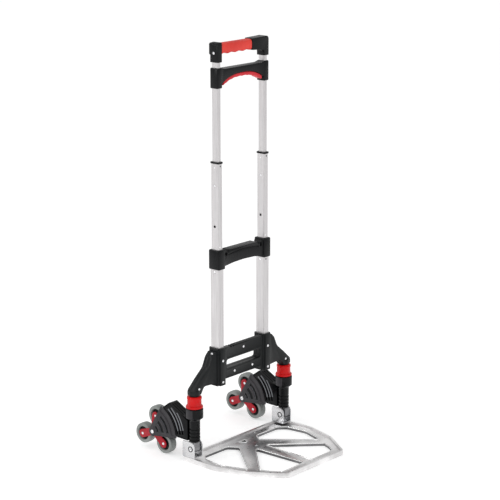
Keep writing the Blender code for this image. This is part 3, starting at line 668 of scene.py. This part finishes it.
# lower frame: both half shells, with rounded edges, recesses and screws
tubeX = middle("outer_tube_r").x
columnX = middle("column_r").x
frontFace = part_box("lower_frame_front")[0].y
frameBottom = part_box("outer_tube_r")[0].z - 0.0038    # the shells reach a little below the tubes
shell = {
    "edge": 0.0011,
    "recess": 0.0012,
    "recessEdge": 0.0016,
    "notch": (0.0042, 0.005),
    "notchAt": (-0.052, -0.043),
    "notchY": (-0.03, 0.002),
    "notchZ": (0.0035, 0.0135),
}
panel = {
    "front": -0.013,
    "half": 0.069,
    "bottom": frameBottom + 0.0165,
    "top": frameBottom + 0.0960,
}
handSlot = {"bottom": frameBottom + 0.0393, "top": frameBottom + 0.0648, "land": 0.0045}
screwPlan = {
    "upper": (0.0, 0.0855),      # across and up, on the recessed panels
    "lower": (0.036, 0.0265),
    "tube": (0.068, 0.009),      # heights in front of each tube
    "arm": (0.006, -0.012, 0.009),
    "side": (-0.006, 0.091),     # forward and up, on the outer flank of each tube boss
    "probe": 0.2,
}


def panelRecess(name, bottom, top):
    half = panel["half"]
    front = panel["front"]
    tool = brick(name, (-half, front - cutClear, bottom), (half, front + shell["recess"], top))
    soften(tool, shell["recessEdge"], 2)
    return tool


frontShell = copyOf("lower_frame_front", "lowerFrameFront")
tools = [
    panelRecess("upperRecess", handSlot["top"] + handSlot["land"], panel["top"]),
    panelRecess("lowerRecess", panel["bottom"], handSlot["bottom"] - handSlot["land"]),
]
for number, x in enumerate(shell["notchAt"]):
    width, depth = shell["notch"]
    front, back = shell["notchY"]
    lower, upper = shell["notchZ"]
    low = (x - width / 2, front, panel["top"] + lower - depth)
    tools.append(brick(f"notch{number}", low, (x + width / 2, back, panel["top"] + upper)))
carve(frontShell, *tools)
soften(frontShell, shell["edge"])
finishPiece(frontShell, "frame", "black_plastic", framePlastic, "lower_frame_front")

rearShell = copyOf("lower_frame_rear", "lowerFrameRear")
soften(rearShell, shell["edge"])
finishPiece(rearShell, "frame", "black_plastic", framePlastic, "lower_frame_rear")

recessFace = panel["front"] + shell["recess"]
across, up = screwPlan["upper"]
screwPlaces = [("-Y", (across, recessFace, frameBottom + up))]
across, up = screwPlan["lower"]
for side in sides.values():
    screwPlaces.append(("-Y", (side * across, recessFace, frameBottom + up)))
for side in sides.values():
    for up in screwPlan["tube"]:
        screwPlaces.append(("-Y", (side * tubeX, frontFace, frameBottom + up)))
    inward, forward, up = screwPlan["arm"]
    screwPlaces.append(("-Y", (side * (columnX - inward), forward, frameBottom + up)))
    forward, up = screwPlan["side"]
    probe = Vector((side * tubeX - screwPlan["probe"], forward, frameBottom + up))
    seat = frontShell.ray_cast(probe, Vector((1, 0, 0)))[1]
    screwPlaces.append(("-X", seat))
heads = [screwHead(f"screw{number}", place, axis) for number, (axis, place) in enumerate(screwPlaces)]
frameScrews = joined("frameScrews", heads)
finishPiece(frameScrews, "frame", "steel", brightSteel, smooth=30)
print("lower frame shells and screws")

# columns: red collars, feet, and pins in the plate's ears
collar = {
    "edge": 0.0016,
    "grow": 0.0008,
    "waist": 0.0010,
    "flangeHeight": 0.0058,
    "flangeGrow": 0.0038,
    "boreClear": 0.0003,
    "steps": 56,
}
pinHead = {
    "radius": 0.0056,
    "hole": 0.0021,
    "shank": 0.0039,
    "inset": 0.0018,
    "shadowRing": 0.0078,
    "shadowRingRise": 0.0007,
    "shadowRingClear": 0.0001,
    "steps": 32,
}
columnEdges = {"foot": 0.0007, "ear": 0.0008}
for tag, side in sides.items():
    low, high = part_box(f"red_collar_{tag}")
    centre = (side * columnX, 0, 0)
    outer = (high.x - low.x) / 2 + collar["grow"]
    bore = (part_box(f"column_{tag}")[1].x - side * columnX) + collar["boreClear"]
    edge = collar["edge"]
    waist = outer - collar["waist"]
    flange = outer + collar["flangeGrow"] - collar["grow"]
    shoulder = low.z + collar["flangeHeight"]
    profile = [
        (bore, low.z),
        (flange - 0.0007, low.z),
        (flange, low.z + 0.0007),
        (flange, shoulder - 0.0014),
        (flange - 0.0012, shoulder),
        (waist + 0.0006, shoulder + 0.0003),
        (waist, shoulder + 0.0010),
        (waist, high.z - 0.0085),
        (waist + 0.0003, high.z - 0.0078),
        (outer - 0.0003, high.z - 0.0072),
        (outer, high.z - 0.0064),
        (outer, high.z - edge * 1.6),
        (outer - edge * 0.5, high.z - edge * 0.5),
        (outer - edge * 1.6, high.z),
        (bore, high.z),
    ]
    ring = turnedPiece(f"redCollar_{tag}", profile, "Z", centre, collar["steps"], True)
    finishPiece(ring, "frame", "red_plastic", collarRed, f"red_collar_{tag}")

    foot = copyOf(f"column_foot_{tag}", f"columnFoot_{tag}")
    soften(foot, columnEdges["foot"])
    # the foot is darkened as painted shade in the ear's gap
    finishPiece(foot, "frame", "cast_aluminium", footShadeMetal, f"column_foot_{tag}")

    low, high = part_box(f"pivot_pin_{tag}")
    z = (low.z + high.z) / 2
    reach = (high.x - low.x) / 2
    shank = pinHead["shank"]
    head = pinHead["radius"]
    body = reach - pinHead["inset"]
    profile = [
        (shank, -body),
        (shank, body - 0.0012),
        (head - 0.0006, body - 0.0012),
        (head, body - 0.0006),
        (head - 0.0004, body + 0.0008),
        (head * 0.78, body + 0.0014),
        (head * 0.70, body + 0.0009),
        (head * 0.58, body + 0.0009),
        (head * 0.50, body + 0.0017),
        (pinHead["hole"] + 0.0003, body + 0.0017),
        (pinHead["hole"], body + 0.0014),
        (pinHead["hole"] - 0.0002, body - 0.0010),
    ]
    axis = "X" if side > 0 else "-X"
    centre = ((low.x + high.x) / 2, 0, z)
    pin = turnedPiece(f"pivotPin_{tag}", profile, axis, centre, pinHead["steps"])
    finishPiece(pin, "frame", "steel", brightSteel, f"pivot_pin_{tag}")
    # dark rings round each pin head, on both faces of the ear: painted shade for the gap under the head
    low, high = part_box(f"plate_ear_{tag}")
    earSide = (high.x - low.x) / 2 + pinHead["shadowRingClear"]
    shadowRingOut = earSide + pinHead["shadowRingRise"]
    profile = [
        (head + 0.0002, earSide),
        (pinHead["shadowRing"], earSide),
        (pinHead["shadowRing"], shadowRingOut - 0.0002),
        (pinHead["shadowRing"] - 0.0003, shadowRingOut),
        (head + 0.0002, shadowRingOut),
    ]
    centre = (side * columnX, 0, z)
    rings = [
        turnedPiece(f"pinShadowRing_{tag}{ringAxis}", profile, ringAxis, centre, pinHead["steps"], True)
        for ringAxis in ("X", "-X")
    ]
    finishPiece(joined(f"pinShadowRings_{tag}", rings), "frame", "black_plastic", deepBlack)

    ear = copyOf(f"plate_ear_{tag}", f"plateEar_{tag}")
    soften(ear, columnEdges["ear"])
    finishPiece(ear, "toe_plate", "cast_aluminium", earMetal, f"plate_ear_{tag}")
print("columns, collars and ears")

# toe plate: the casting, with a bead round each window in a lighter copy of the metal as painted
# highlight
plate = {
    "edge": 0.0009,
    "bead": 0.0016,
    "beadSteps": 2,
    "web": 0.008,          # height of the plate between its rims
    "look": 0.012,
    "frontHalf": 0.092,
    "taper": 0.75,
    "sideScrews": (0.073, 0.010, 0.8),    # across, back and size
    "hubScrew": (-0.058, 0.9),
}
toePlate = copyOf("toe_plate", "toePlate", flat=False)


def beadAlong(name, height):
    # the sharp upper edges at one level become a half-round bead
    source = bpy.data.objects.new(name, toePlate.data.copy())
    bpy.context.scene.collection.objects.link(source)
    pick(source)
    mesh = source.data
    count = {}
    upright = {}
    for face in mesh.polygons:
        for key in face.edge_keys:
            count[key] = count.get(key, 0) + (face.normal.z > 0.9)
            upright[key] = upright.get(key, 0) + (abs(face.normal.z) < 0.3)
    bpy.ops.object.mode_set(mode="EDIT")
    bpy.ops.mesh.select_mode(type="EDGE")
    bpy.ops.mesh.select_all(action="DESELECT")
    bpy.ops.object.mode_set(mode="OBJECT")
    for edge in mesh.edges:
        a, b = (mesh.vertices[index].co for index in edge.vertices)
        level = max(abs(a.z - height), abs(b.z - height)) < hair
        edge.select = level and count[edge.key] == 1 and upright[edge.key] == 1
    bpy.ops.object.mode_set(mode="EDIT")
    bpy.ops.mesh.select_all(action="INVERT")
    bpy.ops.mesh.delete(type="EDGE")
    bpy.ops.object.mode_set(mode="OBJECT")
    return source


windowBead = beadAlong("windowBead", plate["web"])
pick(windowBead)
bpy.ops.object.mode_set(mode="EDIT")
bpy.ops.mesh.select_all(action="SELECT")
bpy.ops.mesh.separate(type="LOOSE")
bpy.ops.object.mode_set(mode="OBJECT")
plateLow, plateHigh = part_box("toe_plate")
windowLoops = []
for loop in list(bpy.context.selected_objects):
    xs = [abs(vertex.co.x) for vertex in loop.data.vertices]
    ys = [vertex.co.y for vertex in loop.data.vertices]
    inX = max(xs) < plateHigh.x - plate["look"]
    inY = min(ys) > plateLow.y + plate["look"] and max(ys) < plateHigh.y - plate["look"] / 2
    if inX and inY:
        windowLoops.append(loop)
    else:
        bpy.data.objects.remove(loop)
windowBead = joined("windowBead", windowLoops)
pick(windowBead)
bpy.ops.object.convert(target="CURVE")
windowBead = bpy.context.object
windowBead.data.bevel_depth = plate["bead"]
windowBead.data.bevel_resolution = plate["beadSteps"]
bpy.ops.object.convert(target="MESH")
windowBead = bpy.context.object
windowBead.name = "windowBead"
tidyNormals(windowBead)
# the bead's lighter copy of the metal is a painted highlight
finishPiece(windowBead, "toe_plate", "cast_aluminium", beadHighlightMetal, smooth=60)

soften(toePlate, plate["edge"])
finishPiece(toePlate, "toe_plate", "cast_aluminium", plateMetal, "toe_plate")


def notRim(centre):
    # the plate narrows towards its front corners
    slack = (centre.y - plateLow.y) * plate["taper"]
    return abs(centre.x) < min(plateHigh.x - plate["look"], plate["frontHalf"] + slack)


def insideWindow(centre, normal):
    # upright walls that face into a window, clear of the rim
    reach = centre + normal * plate["look"]
    inX = abs(reach.x) < plateHigh.x - plate["look"]
    inY = plateLow.y + plate["look"] < reach.y < plateHigh.y - plate["look"] / 2
    return abs(normal.z) < 0.3 and centre.z < plate["web"] and inX and inY and notRim(centre)


# the upright walls inside the windows take the darker copy as painted shade
paintFaces(toePlate, paintedShadeCasting, insideWindow)
across, back, grow = plate["sideScrews"]
hubBack, hubGrow = plate["hubScrew"]
plateScrews = joined("plateScrews", [
    screwHead("plateScrewLeft", (-across, back, plate["web"]), "Z", grow),
    screwHead("plateScrewRight", (across, back, plate["web"]), "Z", grow),
    screwHead("plateScrewHub", (0.0, hubBack, plate["web"]), "Z", hubGrow),
])
finishPiece(plateScrews, "toe_plate", "steel", brightSteel, smooth=30)
print("toe plate")

# wheel brackets: grooved fork plates, a fender with pockets and raised ribs, and a ridged sleeve
fork = {
    "half": 0.0178,
    "fenderHalf": 0.0158,
    "grooveDepth": 0.0028,
    "grooves": ((0.0150, 0.0225), (0.0310, 0.0420), (0.0510, 0.0600)),
    "grooveAngles": (7, 60),
    "rim": (0.0690, 0.0790),
    "rimDepth": 0.0008,
    "rimAngles": (4, 65),
    "pocketDepth": 0.0034,
    "pocketStart": 8,
    "pockets": ((0.0880, 0.0932, 50), (0.0970, 0.1038, 50), (0.1076, 0.1128, 38)),    # radii, end angle
    "ribRise": 0.0006,
    "ribRoot": 0.001,
    "ribStart": 14,
    "ribs": ((0.0930, 0.0972, 53), (0.1036, 0.1078, 50), (0.1126, 0.1162, 39)),
    "ridges": 4,
    "ridgeStart": 0.0175,
    "ridgePitch": 0.0098,
    "ridgeDepth": (0.0130, 0.0170),
    "ridgeShape": (0.0014, 0.0052, 0.0038),    # heights of the groove's corners
    "ridgeSteps": 40,
    "roof": ((0.0775, 0.1495), (0.026, 0.1215)),
    "roofEnds": 0.012,
    "roofGroove": (0.0034, 0.0018, 0.004),    # width, depth and clearance above
    "roofOffsets": (-0.0085, 0.0, 0.0085),
    "edge": 0.0002,
    "paint": 0.0010,
    "axleShank": 0.004,
    "axleSteps": 32,
}
for tag in sides:
    hubPoint = middle(f"star_axle_{tag}")
    hub = (hubPoint.y, hubPoint.z)
    x = hubPoint.x
    bracket = copyOf(f"wheel_bracket_{tag}", f"wheelBracket_{tag}")
    tools = []
    for offset in (-1, 1):
        face = x + offset * fork["half"]
        across = sorted((face - offset * fork["grooveDepth"], face + offset * cutClear))
        for number, radii in enumerate(fork["grooves"]):
            tools.append(arcBar(f"groove{tag}{offset}{number}", hub, radii, fork["grooveAngles"], across))
        across = sorted((face - offset * fork["rimDepth"], face + offset * cutClear))
        tools.append(arcBar(f"rim{tag}{offset}", hub, fork["rim"], fork["rimAngles"], across))
        face = x + offset * fork["fenderHalf"]
        across = sorted((face - offset * fork["pocketDepth"], face + offset * cutClear))
        for number, (inner, outer, top) in enumerate(fork["pockets"]):
            angles = (fork["pocketStart"], top)
            tools.append(arcBar(f"pocket{tag}{offset}{number}", hub, (inner, outer), angles, across))
    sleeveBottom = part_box(f"wheel_bracket_{tag}")[0].z
    for number in range(fork["ridges"]):
        z = sleeveBottom + fork["ridgeStart"] + number * fork["ridgePitch"]
        inner, outer = fork["ridgeDepth"]
        lowIn, highOut, highIn = fork["ridgeShape"]
        ring = [(inner, z + lowIn), (outer, z), (outer, z + highOut), (inner, z + highIn)]
        tools.append(turnedPiece(f"ridge{tag}{number}", ring, "Z", (x, 0, 0), fork["ridgeSteps"], True))
    (rearY, rearZ), (frontY, frontZ) = fork["roof"]
    slope = math.atan2(rearZ - frontZ, rearY - frontY)
    run = math.hypot(rearY - frontY, rearZ - frontZ) - fork["roofEnds"]
    grooveWidth, grooveDepth, grooveClear = fork["roofGroove"]
    for number, offset in enumerate(fork["roofOffsets"]):
        half = grooveWidth / 2
        low = (offset - half, -run / 2, -grooveDepth)
        tool = brick(f"roofGroove{tag}{number}", low, (offset + half, run / 2, grooveClear))
        tool.rotation_euler = (slope, 0, 0)
        tool.location = (x, (rearY + frontY) / 2, (rearZ + frontZ) / 2)
        bake(tool)
        tools.append(tool)
    carve(bracket, *tools)
    ribs = []
    for offset in (-1, 1):
        face = x + offset * fork["fenderHalf"]
        across = sorted((face - offset * fork["ribRoot"], face + offset * fork["ribRise"]))
        for number, (inner, outer, top) in enumerate(fork["ribs"]):
            angles = (fork["ribStart"], top)
            ribs.append(arcBar(f"rib{tag}{offset}{number}", hub, (inner, outer), angles, across))
    carve(bracket, *ribs, operation="UNION")
    soften(bracket, fork["edge"], 2, 40)
    finishPiece(bracket, f"bracket_{tag}", "black_plastic", glossBlack, f"wheel_bracket_{tag}")

    def onForkFace(centre, normal):
        return abs(centre.x - x) > fork["half"] - fork["paint"] and abs(normal.x) > 0.8

    def onRib(centre, normal):
        ribFoot = fork["fenderHalf"] + fork["ribRise"] / 4
        return ribFoot < abs(centre.x - x) < fork["half"] - fork["paint"] - hair

    # the outer faces take the lighter grey and the groove floors stay black: painted light and shade on
    # the grooves
    paintFaces(bracket, forkLitGrey, onForkFace)
    # the rib tops take the lighter grey as a painted sheen
    paintFaces(bracket, ribPaintedSheen, onRib)

    low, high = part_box(f"star_axle_{tag}")
    reach = (high.x - low.x) / 2
    cap = (high.z - low.z) / 2
    shank = fork["axleShank"]
    profile = [
        (0.0013, -reach + 0.0012),
        (0.0016, -reach + 0.0002),
        (cap * 0.62, -reach),
        (cap * 0.9, -reach + 0.0006),
        (cap, -reach + 0.0014),
        (cap, -reach + 0.0025),
        (shank, -reach + 0.0026),
        (shank, reach - 0.0026),
        (cap, reach - 0.0025),
        (cap, reach - 0.0014),
        (cap * 0.9, reach - 0.0006),
        (cap * 0.62, reach),
        (0.0016, reach - 0.0002),
        (0.0013, reach - 0.0012),
    ]
    axle = turnedPiece(f"starAxle_{tag}", profile, "X", hubPoint, fork["axleSteps"])
    finishPiece(axle, f"bracket_{tag}", "steel", brightSteel, f"star_axle_{tag}")
print("wheel brackets")

# star wheels
wheel = {
    "steps": 64,
    "rivetSteps": 24,
    "spiderEdge": 0.0005,
    "coreEdge": 0.0006,
    "boreClear": 0.0003,
}
for tag in sides:
    spider = copyOf(f"spider_{tag}", f"spider_{tag}_plates")
    soften(spider, wheel["spiderEdge"], 2, 40)
    finishPiece(spider, f"star_{tag}", "red_plastic", spiderRed, f"spider_{tag}")
    for number in (1, 2, 3):
        label = f"{tag}{number}"
        low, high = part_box(f"tyre_{label}")
        centre = (low + high) / 2
        radius = (high.z - low.z) / 2
        half = (high.x - low.x) / 2
        coreLow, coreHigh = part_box(f"wheel_core_{label}")
        bore = (coreHigh.z - coreLow.z) / 2 + wheel["boreClear"]
        shape = [
            (bore, -half + 0.0010),
            (bore + 0.0006, -half + 0.0002),
            (bore + 0.0014, -half),
            (radius - 0.0026, -half),
            (radius - 0.0013, -half + 0.0004),
            (radius - 0.0005, -half + 0.0013),
            (radius - 0.0002, -half + 0.0030),
            (radius, -half + 0.0070),
        ]
        profile = shape + [(r, -h) for r, h in reversed(shape)]
        tyre = turnedPiece(f"tyreRing_{label}", profile, "X", centre, wheel["steps"], True)
        finishPiece(tyre, f"wheel_{label}", "grey_tyre", tyreGrey, f"tyre_{label}", smooth=50)

        core = copyOf(f"wheel_core_{label}", f"wheelCore_{label}")
        soften(core, wheel["coreEdge"], 2, 40)
        finishPiece(core, f"wheel_{label}", "black_plastic", deepBlack, f"wheel_core_{label}")

        low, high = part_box(f"wheel_rivet_{label}")
        reach = (high.x - low.x) / 2
        profile = [
            (0.0012, -reach + 0.0004),
            (0.0022, -reach),
            (0.0034, -reach + 0.0003),
            (0.0040, -reach + 0.0010),
            (0.0040, reach - 0.0010),
            (0.0034, reach - 0.0003),
            (0.0022, reach),
            (0.0012, reach - 0.0004),
        ]
        rivet = turnedPiece(f"wheelRivet_{label}", profile, "X", (low + high) / 2, wheel["rivetSteps"])
        finishPiece(rivet, f"star_{tag}", "steel", brightSteel, f"wheel_rivet_{label}")
print("star wheels")

# crossbar, carry bar and top handle
ridge = {
    "face": -0.013,
    "radius": 0.303,
    "crownDrop": 0.005,
    "drop": 0.0052,
    "height": 0.0030,
    "depth": 0.0022,
    "angle": 11.6,
}
hook = {"from": 0.0655, "to": 0.0735, "low": 0.019, "high": 0.0095, "depth": 0.0045, "clear": 0.004}


def bowBar(name, centreZ, radii, halfAngle, across, steps=20):
    # a bar bent over the middle plane, for grooves that follow an arched edge
    start = math.radians(halfAngle)
    reach = sum(radii) / 2
    bpy.ops.mesh.primitive_plane_add(size=1)
    obj = bpy.context.object
    obj.name = name
    obj.scale = (radii[1] - radii[0], across[1] - across[0], 1)
    obj.rotation_euler = (0, start - math.pi / 2, 0)
    obj.location = (reach * math.sin(start), sum(across) / 2, centreZ + reach * math.cos(start))
    bake(obj)
    bpy.ops.object.mode_set(mode="EDIT")
    bpy.ops.mesh.select_all(action="SELECT")
    bpy.ops.mesh.spin(steps=steps, angle=2 * start, center=(0, 0, centreZ), axis=(0, 1, 0))
    bpy.ops.object.mode_set(mode="OBJECT")
    tidyNormals(obj)
    return obj


for node, name, body, edge in (
    ("mid_crossbar", "midCrossbar", "frame", 0.0009),
    ("carry_bar", "carryBar", "handle_stage", 0.0012),
    ("handle_cap_l", "handleCapLeft", "handle_stage", 0.0010),
    ("handle_cap_r", "handleCapRight", "handle_stage", 0.0010),
):
    bar = copyOf(node, name)
    if node == "mid_crossbar":
        low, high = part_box(node)
        barFace = ridge["face"]
        crown = high.z - ridge["crownDrop"] - ridge["drop"]
        across = (barFace - cutClear, barFace + ridge["depth"])
        radii = (ridge["radius"] - ridge["height"], ridge["radius"])
        cuts = [bowBar("ridgeGroove", crown - ridge["radius"], radii, ridge["angle"], across)]
        for side in sides.values():
            xs = sorted((side * hook["from"], side * hook["to"]))
            corner = (xs[0], barFace - hook["clear"], high.z - hook["low"])
            farCorner = (xs[1], barFace + hook["depth"], high.z - hook["high"])
            cuts.append(brick(f"hook{side}", corner, farCorner))
        carve(bar, *cuts)
    soften(bar, edge)
    finishPiece(bar, body, "black_plastic", blackPlastic, node)
for node, name, edge, finish in (
    ("carry_grip", "carryGripInsert", 0.0010, insertRed),
    ("handle_grip", "handleGripSleeve", 0.0016, gripRed),
):
    grip = copyOf(node, name)
    soften(grip, edge, 3, 25)
    finishPiece(grip, "handle_stage", "red_grip", finish, node, smooth=60)
print("bars and handle")
